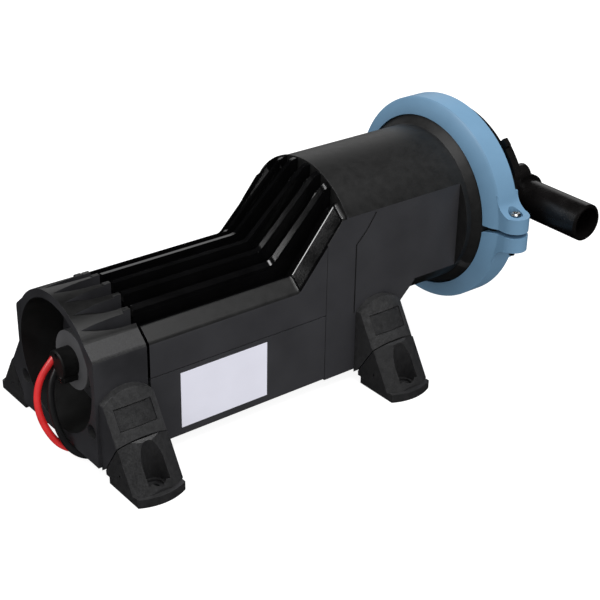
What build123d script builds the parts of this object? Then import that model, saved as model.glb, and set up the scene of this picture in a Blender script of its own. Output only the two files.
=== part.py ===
from build123d import *
import math
import os

# An electric diaphragm pump for grey water. A motor drives a worm gear and an eccentric, whose
# connecting rod pushes a diaphragm in and out behind a round pump head with two hose spigots.
# Millimetres. X runs from the cable end to the pump head, Y across, Z up. The origin is the
# middle of the four foot screws, on the floor.

# Lengths along the case, from its rear face
foot_from_rear = 18.8
cap_length = 34.5
cap_seam = 1.6
base_length = 126.5
slope_before = 20.9
slope_length = 32.0
rim_after_slope = 2.8
front_foot_after = 40.6
shaft_after = 49.4
nose_after = 56.4
collar_after = 107.4

# Case
case_half_width = 43.7
belly_z = 8.0
side_top_z = 76.0
shoulder_half_width = 35.1
shoulder_ledge = 2.0
shoulder_round = 4.0
edge_round = 1.5
bend_round = 4.0
wall = 2.6
parting = 0.2
split_gap = 0.6
split_z = 53.5
motor_z = 54.4
dome_radius = 45.5
groove_margin = 1.9
inner_side_z = 58.0
rib_shares = [0.174, 0.473, 0.749]
rib_thickness = 3.0
rib_lean = 0.53
rib_end = 1.4
rib_bend_radius = 8.0
cover_skirt = 8.0

# Barrel and flange
barrel_z = 86.6
barrel_radius = 52.2
barrel_end_wall = 3.0
rim_ridge = 0.6
nose_z = 41.0
flare_step = 5.2
flare_length = 9.5
neck_length = 4.9
flange_thickness = 3.6
flange_step = 5.6
bore_wall = 5.2

# Rear opening and cable entry
opening_rim = 3.3
recess_taper = 7.4
recess_depth = 24.0
bulkhead = 3.0
boot_radius = 18.0
boot_depth = 10.5
gland_radius = 9.0
gland_depth = 0.5
lead_radius = 2.1
lead_fit = 0.05

# Motor and gearbox
can_radius = 30.0
can_depth = 36.0
can_length = 92.0
can_wall = 2.0
bell_thickness = 6.0
rear_bell = 7.0
shaft_radius = 3.0
bush_radius = 6.0
running_gap = 0.05
air_gap = 1.0
magnet_thickness = 6.0
armature_length = 42.0
frame_plate = 6.0
side_plate_y = 18.0
side_plate = 4.0
module = 2.5
wheel_teeth = 20
backlash = 1.4
worm_pitch_radius = 7.2
worm_turns = 4
wheel_width = 10.0
output_radius = 5.0
bearing_radius = 11.0
bearing_width = side_plate + 1.0
throw = 4.0
eccentric_radius = 10.0
rod_near_y = -15.0
rod_width = 8.0
big_bearing_radius = 15.0
rod_ring_radius = 19.5

# Diaphragm and pump head
diaphragm_rim = 3.0
plate_radius = 24.0
plate_thickness = 4.0
head_rim = 4.0
head_neck = 9.6
head_disc = 3.8
head_disc_step = 5.3
head_cone = 9.6
head_cone_step = 14.4
head_lip = 5.8
head_lip_step = 8.2
head_tab_angle = 43.5
head_lip_end_angle = 61.0
head_boss_radius = 7.2
head_boss_inset = 0.5
head_wall = 7.4
port_ahead = 12.8
port_z = barrel_z + 5.0
port_tube_radius = 15.3
port_bore = 12.6
port_half_length = 46.0
spigot_radius = 12.35
spigot_bore = 10.0
spigot_length = 52.7
spigot_bevel = 1.0
seat_y = 17.0
seat_thickness = 3.0
seat_bore = 8.0
flap_radius = 10.4
flap_thickness = 2.8
flap_pin_radius = 0.9
flap_knuckle = 1.6

# Clamp ring
ring_width = 20.0
ring_overhang = 2.4
ring_slope = 3.7
ring_thickness = 5.6
ring_fit = 0.25
ring_gap = 4.8
lug_gap = 3.0
lug_out = 4.0
lug_radius = 9.2
lug_top = 11.5
lug_blend = 12.0
lug_recess = 1.2
lug_recess_radius = 4.8
clamp_screw_radius = 2.0
hole_fit = 0.25

# Feet, with their distances out from the side of the case
foot_width = 32.9
foot_slope = 58.5
foot_crown_radius = 32.0
foot_screw_out = 28.5
foot_toe_out = 36.5
foot_inner_out = 5.7
foot_hole_radius = 2.9
foot_rise = 0.9
hood_seam_out = 19.6
hood_seam_z = 33.0
hood_top_z = 56.8
hood_arch_radius = 22.0
hood_length = 27.0
hood_wall = 2.4
foot_pad_height = 5.5
foot_pad_inset = 1.0
pocket_radius = 7.0
pocket_ledge = 1.6
latch_up = 12.5
latch_length = 13.0
latch_width = 24.0
latch_fall = 2.6
foot_fit = 0.3

# Places that follow
front_foot_from_rear = cap_length + cap_seam + base_length + front_foot_after
foot_pitch_x = front_foot_from_rear - foot_from_rear
foot_pitch_y = 2 * (case_half_width + foot_screw_out)
rear_x = -(foot_from_rear + foot_pitch_x / 2)
rear_foot_x = rear_x + foot_from_rear
front_foot_x = rear_foot_x + foot_pitch_x
cap_front = rear_x + cap_length
cover_rear = cap_front + cap_seam
base_end = cover_rear + base_length
slope_start = base_end - slope_before
slope_end = slope_start + slope_length
barrel_rear = slope_end + rim_after_slope
nose_x = base_end + nose_after
collar_x = base_end + collar_after
flare_x = collar_x + flare_length
flange_x = flare_x + neck_length
flange_front = flange_x + flange_thickness
flare_radius = barrel_radius + flare_step
flange_radius = flare_radius + flange_step
flange_bore = barrel_radius - bore_wall
chamber_radius = flare_radius - head_wall
dome_top = motor_z + dome_radius
groove_radius = shoulder_half_width + groove_margin
rib_offsets = [share * shoulder_half_width for share in rib_shares]
slope_rise = barrel_z + barrel_radius - dome_top
opening_radius = case_half_width - opening_rim
recess_radius = opening_radius - recess_taper
boot_rear = rear_x + boot_depth
gland_rear = rear_x + gland_depth
can_rear = rear_x + can_depth
can_front = can_rear + can_length
bell_front = can_front + bell_thickness
frame_front = bell_front + frame_plate
shaft_gap = shaft_radius + running_gap
shaft_x = base_end + shaft_after
wheel_pitch_radius = module * wheel_teeth / 2
wheel_z = motor_z + worm_pitch_radius + wheel_pitch_radius
pin_x = shaft_x - throw
head_rim_rear = flange_front + diaphragm_rim
head_rim_front = head_rim_rear + head_rim
head_neck_x = head_rim_front + head_neck
head_disc_x = head_neck_x + head_disc
head_face_x = head_disc_x + head_cone
port_x = head_face_x + port_ahead
spigot_end_y = port_half_length + spigot_length
flap_pin_z = port_z + flap_radius - 1.6
ring_rear = flange_x - ring_overhang
ring_front = ring_rear + ring_width
ring_radius = flange_radius + ring_thickness
ring_lip_radius = flare_radius + 0.4
lug_x = (ring_rear + ring_front) / 2
lug_y = ring_radius + lug_out
armature_rear = can_front - 18 - armature_length
armature_front = armature_rear + armature_length
armature_radius = can_radius - can_wall - magnet_thickness - air_gap
commutator_radius = 10.0
commutator_rear = armature_rear - 26
commutator_front = armature_rear - 8.5
brush_x = commutator_rear + 7.0
skirt_seat = cover_skirt + parting
hood_seam_y = case_half_width + hood_seam_out
foot_toe_y = case_half_width + foot_toe_out
foot_inner_y = case_half_width + foot_inner_out

# Screws and posts
screw_radius = 2.0
case_thread_radius = 1.7
cap_screw_y = case_half_width - 5.5
cap_screw_z = 29.7
cap_head_depth = 21.0
post_y = case_half_width - 7.1
post_xs = [cover_rear + 36.0, base_end - 12.0]
frame_post_xs = [base_end + 9.4, nose_x - 17.0]
frame_post_y = 13.0
frame_floor_z = 36.0
frame_floor = 4.0
gland_screw_radius = 1.0
gland_screw_head = 1.9
gland_screw_y = -4.3
gland_screw_z = motor_z - 7.8


def block(x0, x1, y0, y1, z0, z1):
    """Box between two corners."""
    middle = Pos((x0 + x1) / 2, (y0 + y1) / 2, (z0 + z1) / 2)
    return middle * Box(x1 - x0, y1 - y0, z1 - z0)


def rod_x(radius, x0, x1, y=0.0, z=motor_z):
    """Cylinder along X."""
    low = (Align.CENTER, Align.CENTER, Align.MIN)
    return Pos(x0, y, z) * Rot(0, 90, 0) * Cylinder(radius, x1 - x0, align=low)


def rod_y(radius, y0, y1, x, z):
    """Cylinder along Y."""
    low = (Align.CENTER, Align.CENTER, Align.MIN)
    return Pos(x, y0, z) * Rot(-90, 0, 0) * Cylinder(radius, y1 - y0, align=low)


def rod_z(radius, z0, z1, x, y):
    """Cylinder along Z."""
    low = (Align.CENTER, Align.CENTER, Align.MIN)
    return Pos(x, y, z0) * Cylinder(radius, z1 - z0, align=low)


def cone_x(r0, r1, x0, x1, z):
    """Cone along X."""
    low = (Align.CENTER, Align.CENTER, Align.MIN)
    return Pos(x0, 0, z) * Rot(0, 90, 0) * Cone(r0, r1, x1 - x0, align=low)


def side_shape(points, y0, y1):
    """Outline drawn on the side of the pump, given as x and z, carried across from y0 to y1."""
    outline = [(x, y0, z) for x, z in points]
    return extrude(make_face(Polyline(*outline, close=True)), amount=y1 - y0, dir=(0, 1, 0))


def end_shape(points, x0, x1):
    """Outline seen from the end, given as y and z, carried along from x0 to x1."""
    outline = [(x0, y, z) for y, z in points]
    return extrude(make_face(Polyline(*outline, close=True)), amount=x1 - x0, dir=(1, 0, 0))


def both_sides(shape):
    """The shape and its mirror image across the middle of the pump."""
    return shape + mirror(shape, about=Plane.XZ)


def arc_z(radius, y):
    """Height of an arc about the motor axis, at a distance from the middle."""
    return motor_z + math.sqrt(radius ** 2 - y ** 2)


def arched_face(x, half, crown, rounds=()):
    """Face across the case: half of its outline, an arc over the crown, and the mirror. The corners
    above the first one are rounded by the given radii, from the bottom up."""
    left = [(x, -y, z) for y, z in half]
    right = [(x, y, z) for y, z in reversed(half)]
    arc = ThreePointArc(left[-1], (x, 0, crown), right[0])
    face = make_face([*Polyline(*left).edges(), arc, *Polyline(*right, left[0]).edges()])
    for (y, z), radius in zip(half[1:], rounds):
        corners = [v for v in face.vertices() if abs(abs(v.Y) - y) < 0.01 and abs(v.Z - z) < 0.01]
        face = fillet(corners, radius)
    return face


shoulder_z = arc_z(dome_radius, shoulder_half_width)
inner_half_width = case_half_width - wall
inner_radius = groove_radius - wall
inner_arc_half_width = inner_radius - 6.4


def plain_half(bottom):
    """Case outline with its whole dome, as on the rear cap."""
    return [
        (case_half_width, bottom),
        (case_half_width, side_top_z),
        (shoulder_half_width, shoulder_z),
    ]


def grooved_half(bottom):
    """Case outline at the floor of the grooves, with the shoulder's edge standing up."""
    edge = shoulder_half_width - shoulder_ledge
    return plain_half(bottom) + [(edge, shoulder_z), (edge, arc_z(groove_radius, edge))]


def inner_half(bottom):
    """Inside of the case."""
    return [
        (inner_half_width, bottom),
        (inner_half_width, inner_side_z),
        (inner_arc_half_width, arc_z(inner_radius, inner_arc_half_width)),
    ]


def along_case(half, crown, start, end):
    """Carries an outline along the case: level, up the slope, then level to the barrel."""
    first = arched_face(start, half, crown)
    second = arched_face(slope_start, half, crown)
    third = Pos(slope_length, 0, slope_rise) * second
    up_slope = (slope_length, 0, slope_rise)
    level = extrude(first, amount=slope_start - start, dir=(1, 0, 0))
    slope = extrude(second, amount=math.hypot(slope_length, slope_rise), dir=up_slope)
    upper = extrude(third, amount=end - slope_end, dir=(1, 0, 0))
    return level + slope + upper


def along_case_rounded(half, crown, start, end, rounds):
    """The same for the outside, with rounded bends and shoulders. The outline stays upright."""
    line = [(start, 0, 0), (slope_start, 0, 0), (slope_end, 0, slope_rise), (end, 0, slope_rise)]
    path = FilletPolyline(*line, radius=bend_round)
    return sweep(arched_face(start, half, crown, rounds), path=path, normal=(1, 0, 0))


def shoulder_line(x):
    """Height of the shoulder's lower edge: level, up the slope, then level to the barrel."""
    climb = min(max(x - slope_start, 0), slope_length)
    return side_top_z + climb * slope_rise / slope_length


def shoulder_path(start, end, drop):
    """Points of the shoulder's lower edge from start to end, lowered by drop."""
    bends = [x for x in (slope_start, slope_end) if start < x < end]
    return [(x, shoulder_line(x) - drop) for x in (start, *bends, end)]


deep = belly_z - 60.0
high = barrel_z + barrel_radius + 20.0


# Ribbed top cover
def make_top_cover():
    end = barrel_rear - parting
    rounds = [shoulder_round, edge_round]
    skin = along_case_rounded(grooved_half(deep), motor_z + groove_radius, cover_rear, end, rounds)
    skin -= along_case(inner_half(deep - 1), motor_z + inner_radius, cover_rear - 1, end + 1)
    edge_x = base_end - parting
    step = base_end + parting

    def above(drop, start):
        return [
            (cover_rear, split_z + split_gap), (edge_x, split_z + split_gap),
            (edge_x, shoulder_line(start) - drop), *shoulder_path(start, end, drop),
            (end, high), (cover_rear, high),
        ]

    wide = side_shape(above(0, step), -case_half_width - 1, case_half_width + 1)
    skirt = side_shape(above(cover_skirt, step), -shoulder_half_width, shoulder_half_width)
    cover = skin & (wide + skirt)
    for offset in rib_offsets:
        cover += both_sides(make_rib(offset, end))
    for x in post_xs:
        post = rod_z(4.0, split_z + parting, split_z + 15, x, post_y)
        cover += both_sides(post & block(cover_rear, base_end, 0, inner_half_width + 0.5, 0, high))
        cover -= both_sides(rod_z(case_thread_radius, split_z, split_z + 12.5, x, post_y))
    return cover


def make_rib(offset, end):
    """One upright rib. Its top follows the dome, climbs the slope and comes level with the barrel."""
    inner = offset - rib_thickness / 2
    outer = offset + rib_thickness / 2
    top = arc_z(dome_radius, inner)
    fall = top - arc_z(dome_radius, outer)
    level = barrel_z + math.sqrt(barrel_radius ** 2 - inner ** 2)
    foot = min(arc_z(groove_radius, inner), arc_z(groove_radius, outer) + fall) - 0.8
    bend_x = slope_start - rib_lean * (top - side_top_z)
    end_x = slope_end - rib_end
    outline = [
        (cover_rear, foot), (slope_start, foot), (slope_end, foot + slope_rise), (end, foot + slope_rise),
        (end, level), (end_x, level), (bend_x, top), (cover_rear, top),
    ]
    side = make_face(Polyline(*[(x, inner, z) for x, z in outline], close=True))
    rib = extrude(side, amount=math.hypot(rib_thickness, fall), dir=(0, rib_thickness, -fall))
    for x, z in ((bend_x, top), (end_x, level)):
        corner = Vector(x, offset, z - fall / 2)
        rib = fillet(rib.edges().sort_by_distance(corner)[0], rib_bend_radius)
    return rib


# Rear cap with its round opening
def make_rear_cap():
    whole = arched_face(rear_x, plain_half(belly_z), dome_top, [shoulder_round])
    cap = extrude(whole, amount=cap_length, dir=(1, 0, 0))
    cap -= cone_x(opening_radius, recess_radius, rear_x, rear_x + recess_depth, motor_z)
    inside = arched_face(rear_x + recess_depth + bulkhead, inner_half(belly_z + wall), motor_z + inner_radius)
    cap -= extrude(inside, amount=cap_length, dir=(1, 0, 0))
    cap -= rod_x(boot_radius - 4, rear_x, cap_front)
    for offset in rib_offsets:
        cap += both_sides(make_tab(offset))
    for low, high_edge in pocket_bands():
        pocket = make_pocket(low, high_edge)
        cap -= both_sides(pocket) if low > 0 else pocket
    boss = rod_x(5.2, rear_x + recess_depth, cap_front, cap_screw_y, cap_screw_z)
    cap += both_sides(boss & block(rear_x, cap_front, 0, case_half_width, 0, high))
    hole = rod_x(4.5, rear_x - 1, rear_x + cap_head_depth, cap_screw_y, cap_screw_z)
    hole += rod_x(screw_radius + hole_fit, rear_x, cap_front + 1, cap_screw_y, cap_screw_z)
    cap -= both_sides(hole)
    cap += both_sides(make_hood(rear_foot_x))
    cap -= both_sides(hood_inside(rear_foot_x))
    return cap


def make_tab(offset):
    """Small square pad on the cap's end of a rib."""
    half = rib_thickness / 2
    top = arc_z(dome_radius, offset)
    return block(cap_front - 4.5, cap_front, offset - half, offset + half, top - 3.5, top + 0.5)


def pocket_bands():
    """Bands between the ribs on the cap, from the middle outwards."""
    half = rib_thickness / 2
    lows = [offset + half for offset in rib_offsets]
    highs = [offset - half for offset in rib_offsets[1:]] + [shoulder_half_width - shoulder_ledge]
    return [(-rib_offsets[0] + half, rib_offsets[0] - half), *zip(lows, highs)]


def make_pocket(low, high_edge):
    """Leaf shaped pocket between two ribs, whose floor rises to a point towards the rear."""
    middle = (low + high_edge) / 2
    tip_y = 0.96 * middle
    tip = rear_x + 2.0
    full = rear_x + recess_depth + bulkhead
    bulge_x = tip + 0.4 * (full - tip)
    z0 = motor_z
    side = ThreePointArc((tip, tip_y, z0), (bulge_x, tip_y - 0.6 * (tip_y - low), z0), (full, low, z0))
    other = ThreePointArc(
        (full, high_edge, z0), (bulge_x, tip_y + 0.6 * (high_edge - tip_y), z0), (tip, tip_y, z0))
    front = Polyline((full, low, z0), (cap_front + 1, low, z0), (cap_front + 1, high_edge, z0),
                     (full, high_edge, z0))
    leaf = extrude(make_face([side, *front.edges(), other]), amount=60, dir=(0, 0, 1))
    floor_radius = groove_radius + 1.2
    floor = cone_x(dome_radius, floor_radius, tip, full, motor_z)
    return leaf - floor - rod_x(floor_radius, full, cap_front + 2)


# Base cover, a tray with cradles for the motor
def make_base_cover():
    end = base_end - parting
    tray = end_shape(
        [
            (-case_half_width, split_z), (-case_half_width, belly_z + 1.5),
            (-case_half_width + 1.5, belly_z), (case_half_width - 1.5, belly_z),
            (case_half_width, belly_z + 1.5), (case_half_width, split_z),
        ],
        cover_rear, end,
    )
    tray -= block(cover_rear - 1, end + 1, -inner_half_width, inner_half_width, belly_z + wall, split_z + 1)
    for x in [can_rear + 22, can_rear + 46, can_rear + 70]:
        rib = block(x, x + 3, -inner_half_width - 0.5, inner_half_width + 0.5, belly_z + wall - 0.5, split_z - 4)
        tray += rib - rod_x(can_radius + 0.3, x - 1, x + 4)
    for x in post_xs:
        post = rod_z(4.2, belly_z + 1, split_z, x, post_y)
        tray += both_sides(post & block(cover_rear, end, 0, case_half_width - 1, 0, split_z))
        hole = rod_z(screw_radius + hole_fit, belly_z - 1, split_z + 1, x, post_y)
        hole += rod_z(4.0, belly_z - 1, belly_z + 3.2, x, post_y)
        tray -= both_sides(hole)
    boss = rod_x(4.6, cover_rear, cover_rear + 26, cap_screw_y, cap_screw_z)
    tray += both_sides(boss & block(cover_rear, end, 0, case_half_width, 0, split_z))
    tray -= both_sides(rod_x(case_thread_radius, cover_rear - 1, cover_rear + 24, cap_screw_y, cap_screw_z))
    return tray


# Front housing: box, barrel and flange in one moulding
def make_front_housing():
    start = base_end
    box = side_shape(
        [
            (start, belly_z), (nose_x, belly_z), (nose_x, nose_z), (nose_x + 16, nose_z + 16),
            (nose_x + 16, barrel_z), (barrel_rear + 6, side_top_z + slope_rise),
            (barrel_rear, side_top_z + slope_rise), *reversed(shoulder_path(start, barrel_rear, parting)),
        ],
        -case_half_width, case_half_width,
    )
    seat = side_shape(
        [*shoulder_path(start - 1, barrel_rear, skirt_seat), (barrel_rear, high), (start - 1, high)],
        -shoulder_half_width - parting, shoulder_half_width + parting,
    )
    box -= seat
    flats = block(barrel_rear, collar_x, -case_half_width, case_half_width, 0, high)
    barrel = rod_x(barrel_radius, barrel_rear, collar_x, 0, barrel_z)
    barrel += rod_x(barrel_radius + rim_ridge, barrel_rear, barrel_rear + 1.4, 0, barrel_z)
    barrel = barrel & flats
    collar = rod_x(barrel_radius, collar_x, flare_x, 0, barrel_z)
    flare = cone_x(barrel_radius, flare_radius, collar_x + 4, flare_x, barrel_z)
    neck = rod_x(flare_radius, flare_x, flange_front, 0, barrel_z)
    rim = rod_x(flange_radius, flange_x, flange_front, 0, barrel_z)
    shell = box + barrel + collar + flare + neck + rim
    inside = side_shape(
        [
            (start - 1, belly_z + wall), (nose_x - wall, belly_z + wall), (nose_x - wall, nose_z + 1.5),
            (nose_x + 12, nose_z + 16), (nose_x + 12, barrel_z), (start - 1, barrel_z),
        ],
        -inner_half_width, inner_half_width,
    )
    face = Pos(0, 0, slope_rise) * arched_face(start - 1, inner_half(deep), motor_z + inner_radius)
    upper = extrude(face, amount=barrel_rear + barrel_end_wall + 0.1 - start + 1, dir=(1, 0, 0))
    inside += upper & block(start - 1, nose_x, -50, 50, barrel_z - 20, high)
    hollow_flats = block(barrel_rear, collar_x + 4, -inner_half_width, inner_half_width, 0, high)
    bore = rod_x(barrel_radius - wall, barrel_rear + barrel_end_wall, collar_x + 4, 0, barrel_z)
    inside += bore & hollow_flats
    inside += rod_x(flange_bore, collar_x + wall, flange_front + 1, 0, barrel_z)
    shell -= inside
    groove_x = base_end + 21.8
    groove = side_shape(
        [
            (groove_x, 49.0), (groove_x + 1, 49.0), (groove_x + 1, 95.3), (groove_x + 8.3, 102.5),
            (groove_x + 15.9, 113.3), (groove_x + 15.0, 113.9), (groove_x + 7.4, 103.1), (groove_x, 95.7),
        ],
        case_half_width - 0.6, case_half_width + 1,
    )
    shell -= both_sides(groove)
    for x in frame_post_xs:
        post = rod_z(5.0, belly_z + 1, frame_floor_z, x, frame_post_y)
        shell += both_sides(post)
        hole = rod_z(screw_radius + hole_fit, belly_z - 1, frame_floor_z + 1, x, frame_post_y)
        hole += rod_z(4.0, belly_z - 1, belly_z + 3.2, x, frame_post_y)
        shell -= both_sides(hole)
    shell += both_sides(make_hood(front_foot_x))
    shell -= both_sides(hood_inside(front_foot_x))
    return shell


# Feet and the hoods that hold them. Drawn on the near side, where y is negative.
slope_down = (0.0, -math.cos(math.radians(foot_slope)), -math.sin(math.radians(foot_slope)))
slope_out = (0.0, slope_down[2], -slope_down[1])


def crown_barrel(x, drop):
    """Round bar under the hood's crown line, which gives hood and foot their arched backs."""
    radius = foot_crown_radius
    centre = Vector(x, -hood_seam_y, hood_seam_z) - Vector(*slope_out) * (radius + drop)
    bar = Cylinder(radius, 200)
    return Plane(origin=centre, z_dir=slope_down) * bar


def foot_side(points, x, width):
    """Outline of hood or foot seen from the end, near side, carried across its width."""
    return end_shape([(-y, z) for y, z in points], x - width / 2, x + width / 2)


def hood_arch(x, side, drop):
    """Upright slab with an arched top that bounds the hood, or its inside when lowered by drop."""
    half = foot_width / 2 - side
    radius = hood_arch_radius
    centre_z = hood_top_z - radius - drop
    sides = block(x - half, x + half, -foot_toe_y, 0, 0, centre_z + math.sqrt(radius ** 2 - half ** 2))
    crown = rod_y(radius, -foot_toe_y, 0, x, centre_z)
    return sides + (crown & block(x - half, x + half, -foot_toe_y, 0, centre_z, high))


def make_hood(x):
    """Arched socket moulded on the side of the case."""
    side = case_half_width
    top_y = hood_seam_y + slope_down[1] * hood_length
    top_z = hood_seam_z - slope_down[2] * hood_length
    points = [
        (side - 0.4, hood_top_z + 1), (top_y - 1.0, hood_top_z + 1), (top_y, top_z), (hood_seam_y, hood_seam_z),
        (side + 3.6, belly_z + 1.0), (side - 0.4, belly_z - 2.4),
    ]
    return foot_side(points, x, foot_width) & crown_barrel(x, 0) & hood_arch(x, 0, 0)


def hood_inside(x):
    """Room for the foot's neck, and the window for its latch."""
    side = case_half_width
    points = [
        (side + 0.4, 50.0), (side + 6.5, 48.8), (hood_seam_y - 1.8, hood_seam_z - 2.0),
        (hood_seam_y - 1.0, hood_seam_z - 4.0), (side + 4.3, 8.5), (side + 3.3, 4.0), (side + 0.4, 4.0),
    ]
    room = foot_side(points, x, foot_width - 2 * hood_wall) & crown_barrel(x, hood_wall)
    room = room & hood_arch(x, hood_wall, hood_wall)
    window = Plane(origin=window_centre(x), x_dir=(1, 0, 0), z_dir=slope_out) * Box(
        latch_width, latch_length, 8)
    return room + window


def window_centre(x):
    """Middle of the latch on the hood's back."""
    return Vector(x, -hood_seam_y, hood_seam_z) - Vector(*slope_down) * latch_up


def make_latch(x):
    """Springy catch of the foot in the hood's window, two faces that meet in a crease."""
    half = latch_width / 2 - foot_fit
    crease = -foot_fit
    outline = [
        (-half, crease - latch_fall, 0), (0, crease, 0), (half, crease - latch_fall, 0),
        (half, -4.0, 0), (-half, -4.0, 0),
    ]
    face = make_face(Polyline(*outline, close=True))
    bar = extrude(face, amount=latch_length / 2 - foot_fit, both=True)
    return Plane(origin=window_centre(x), x_dir=(1, 0, 0), z_dir=slope_down) * bar


def make_foot(x):
    """Foot with its neck in the hood, latch, toe and screw pocket, near side."""
    side = case_half_width
    seam_gap = 0.4
    toe_z = foot_pad_height
    line = Vector(0, -foot_toe_y, toe_z + 2.5)
    up = 26.0
    crown_y = -(line.Y - slope_down[1] * up)
    crown_z = line.Z - slope_down[2] * up
    block_points = [
        (crown_y, crown_z), (foot_toe_y, toe_z + 2.5), (foot_toe_y, toe_z), (foot_inner_y - 1.5, toe_z),
        (side + 3.9, 8.6 - seam_gap), (hood_seam_y + 0.25, hood_seam_z - seam_gap - 0.6),
    ]
    foot = foot_side(block_points, x, foot_width) & crown_barrel(x, -foot_rise)
    toe_round = Pos(x, -(foot_toe_y + 3.4) + foot_crown_radius, 0) * Cylinder(foot_crown_radius, 200)
    half_pad = foot_width / 2 - foot_pad_inset
    pad = block(x - half_pad, x + half_pad, -foot_toe_y - 3.4, -foot_inner_y, 0, toe_z)
    foot = foot + (pad & toe_round)
    neck_points = [
        (side + 0.8, 47.5), (side + 5.9, 46.5), (hood_seam_y - 2.4, hood_seam_z - 3.0),
        (hood_seam_y - 2.4, hood_seam_z - 6.0), (side + 5.3, 9.2), (side + 0.8, 9.2),
    ]
    thick = hood_wall + foot_fit
    neck = foot_side(neck_points, x, foot_width - 2 * thick) & crown_barrel(x, thick)
    neck = neck & hood_arch(x, thick, thick)
    foot = foot + neck + make_latch(x)
    pocket_y = -foot_pitch_y / 2
    pocket = rod_z(pocket_radius, toe_z, 60, x, pocket_y)
    pocket += block(x - pocket_radius, x + pocket_radius, pocket_y - 5.4, pocket_y, toe_z, 60)
    pocket += rod_z(pocket_radius - pocket_ledge, toe_z - 1.5, toe_z + 1, x, pocket_y)
    foot -= pocket
    foot -= rod_z(foot_hole_radius, -1, toe_z + 1, x, pocket_y)
    end_x = x - foot_width / 2
    return foot - rod_x(0.9, end_x - 1, end_x + 4, -hood_seam_y + 0.9, 12.1)


# Clamp ring in two halves
def ring_body():
    profile = [
        (ring_rear - ring_slope, ring_lip_radius), (ring_rear - ring_slope, ring_lip_radius + 1.0),
        (ring_rear + 0.6, ring_radius - 1.2), (ring_rear + 1.8, ring_radius),
        (ring_front - 3.2, ring_radius), (ring_front, ring_radius - 3.0), (ring_front, ring_lip_radius),
    ]
    outline = [(x, 0, barrel_z + r) for x, r in profile]
    axis = Axis((0, 0, barrel_z), (1, 0, 0))
    ring = revolve(make_face(Polyline(*outline, close=True)), axis=axis)
    return ring


def ring_room():
    room = rod_x(ring_lip_radius, ring_rear - ring_slope - 1, ring_front + 1, 0, barrel_z)
    seat = flange_radius + ring_fit
    room += rod_x(seat, flange_x - ring_fit, head_rim_front + ring_fit, 0, barrel_z)
    return room


def make_lug_blend(sign):
    """Hollow curve that leads from the ring's back down to the lug."""
    high_z = lug_top + lug_blend
    ring_y = math.sqrt(ring_radius ** 2 - high_z ** 2)
    x0 = lug_x - lug_radius
    outer = (x0, lug_y + 3.0, barrel_z + sign * lug_top)
    upper = (x0, ring_y, barrel_z + sign * high_z)
    hollow = (x0, lug_y - 4.4, barrel_z + sign * (lug_top + 0.3 * lug_blend))
    inner = Polyline(outer, (x0, flange_radius, outer[2]), (x0, flange_radius, upper[2]), upper)
    face = make_face([ThreePointArc(upper, hollow, outer), *inner.edges()])
    return extrude(face, amount=2 * lug_radius, dir=(1, 0, 0))


def make_clamp_ring(upper):
    sign = 1 if upper else -1
    lip_z = barrel_z + sign * ring_gap / 2
    inner_z = barrel_z + sign * lug_gap / 2
    outer_z = barrel_z + sign * lug_top
    ring = ring_body()
    low, top = sorted((inner_z, outer_z))
    lug = rod_z(lug_radius, low, top, lug_x, lug_y)
    lug += block(lug_x - lug_radius, lug_x + lug_radius, flange_radius - 8, lug_y, low, top)
    ring += both_sides(lug + make_lug_blend(sign))
    ring -= ring_room()
    ring -= both_sides(rod_z(clamp_screw_radius + hole_fit, low - 1, top + 1, lug_x, lug_y))
    seat_z, far_z = sorted((outer_z - sign * lug_recess, outer_z + sign * (lug_blend + 1)))
    ring -= both_sides(rod_z(lug_recess_radius, seat_z, far_z, lug_x, lug_y))
    reach = lug_y + lug_radius + 1
    half = [
        (reach, barrel_z + sign * reach), (reach, inner_z), (lug_y - lug_radius, inner_z),
        (ring_lip_radius, lip_z),
    ]
    outline = half + [(-y, z) for y, z in reversed(half)]
    return ring & end_shape(outline, ring_rear - ring_slope - 1, ring_front + 1)


def make_clamp_screw(y):
    top = barrel_z + lug_top - lug_recess
    bottom = barrel_z - lug_top - 5.0
    screw = rod_z(clamp_screw_radius, bottom, top, lug_x, y)
    head = rod_z(3.6, top, top + 2.6, lug_x, y)
    head = chamfer(head.edges().group_by(Axis.Z)[-1], 0.8)
    socket = Pos(lug_x, y, top + 1.4) * extrude(RegularPolygon(1.9, 6), amount=3)
    return screw + head - socket


def make_clamp_nut(y):
    top = barrel_z - lug_top + lug_recess
    nut = Pos(lug_x, y, top - 3.2) * extrude(RegularPolygon(4.0, 6), amount=3.2)
    return nut - rod_z(clamp_screw_radius + 0.02, top - 5, top + 1, lug_x, y)


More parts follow.
